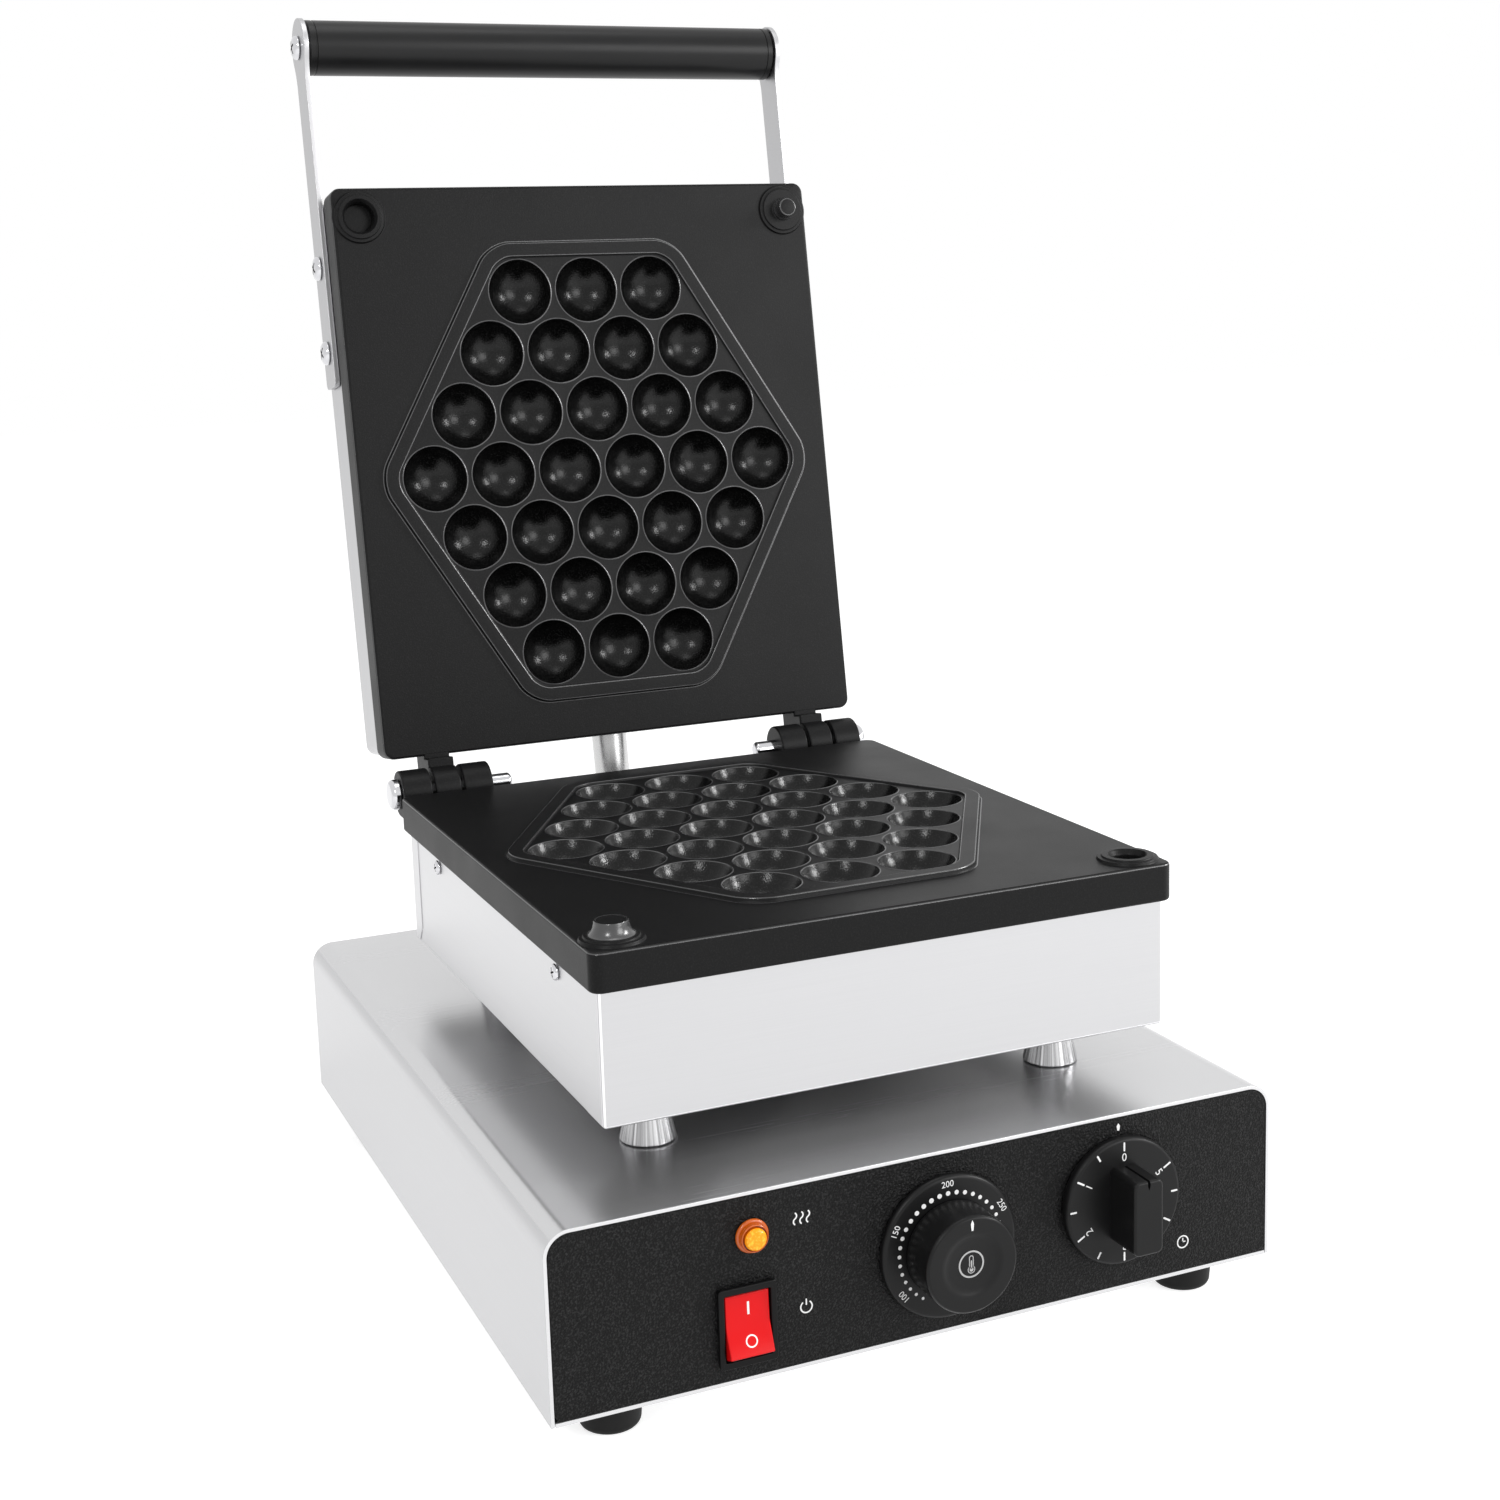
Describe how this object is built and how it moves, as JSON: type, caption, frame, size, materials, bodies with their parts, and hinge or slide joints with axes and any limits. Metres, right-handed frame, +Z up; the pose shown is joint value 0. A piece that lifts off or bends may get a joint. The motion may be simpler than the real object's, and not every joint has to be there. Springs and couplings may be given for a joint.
{
  "type": "waffle iron",
  "caption": "Countertop bubble waffle iron with a hinged lid, round baking hollows, a bar grip and dial controls.",
  "frame": {"origin": "bottom centre of the bounding box of the opened part, on the surface that it stands on", "axes": "+X to the right seen from the control panel, +Y to the back, where the hinge is, +Z up"},
  "size_m": [0.305, 0.4388, 0.5393],
  "materials": {
    "stainless": "brushed",
    "coated_plate": "black non-stick coating",
    "fascia": "fine leather-like texture",
    "spacer": "turned, satin",
    "fastener": "polished",
    "heater": "oxidised",
    "shaft": "plain",
    "insulation": "mineral wool blanket",
    "grip": "satin",
    "control": "fine grain",
    "control_body": "plain",
    "rocker": "gloss, translucent red",
    "lens": "gloss, translucent amber",
    "rubber": "matte"
  },
  "bodies": {
    "base": {"back_panel": "stainless", "base_shell": "stainless", "bottom_plate": "stainless", "cable_gland": "control", "foot_back_left": "rubber", "foot_back_right": "rubber", "foot_front_left": "rubber", "foot_front_right": "rubber", "front_panel": "fascia", "hinge_pin_left": "fastener", "hinge_pin_right": "fastener", "lamp_holder": "fastener", "lamp_lens": "lens", "lead_grommet": "rubber", "lower_heater": "heater", "lower_insulation": "insulation", "lower_plate": "coated_plate", "lower_tray": "stainless", "spacer_back_left": "spacer", "spacer_back_right": "spacer", "spacer_front_left": "spacer", "spacer_front_right": "spacer", "switch_housing": "control", "terminal_block": "control_body", "thermostat_body": "control_body", "thermostat_scale": "control", "timer_body": "control_body", "tray_screw_back_left": "fastener", "tray_screw_back_right": "fastener", "tray_screw_front_left": "fastener", "tray_screw_front_right": "fastener"},
    "lid": {"upper_plate": "coated_plate", "lid_shell": "stainless", "upper_heater": "heater", "upper_insulation": "insulation", "grip": "grip", "lead_conduit": "stainless", "conduit_bush": "rubber", "handle_arm_left": "stainless", "handle_arm_right": "stainless", "grip_screw_left": "fastener", "grip_screw_right": "fastener", "arm_screw_near_left": "fastener", "arm_screw_near_right": "fastener", "arm_screw_far_left": "fastener", "arm_screw_far_right": "fastener"},
    "rocker": {"switch_rocker": "rocker"},
    "thermostat": {"thermostat_knob": "control", "thermostat_shaft": "shaft"},
    "timer": {"timer_knob": "control", "timer_shaft": "shaft"}
  },
  "joints": [
    {"name": "lid_hinge", "type": "hinge", "parent": "base", "child": "lid", "pos_m": [0, 0.1134, 0.174], "axis": [1, 0, 0], "range_deg": [0, 99]},
    {"name": "rocker_pivot", "type": "hinge", "parent": "base", "child": "rocker", "pos_m": [-0.077, -0.1962, 0.0365], "axis": [1, 0, 0], "range_deg": [0, 24]},
    {"name": "thermostat_turn", "type": "hinge", "parent": "base", "child": "thermostat", "pos_m": [0.0055, -0.1972, 0.0495], "axis": [0, 1, 0], "range_deg": [-130, 130]},
    {"name": "timer_turn", "type": "hinge", "parent": "base", "child": "timer", "pos_m": [0.0815, -0.1972, 0.0523], "axis": [0, 1, 0], "range_deg": [0, 300]}
  ]
}
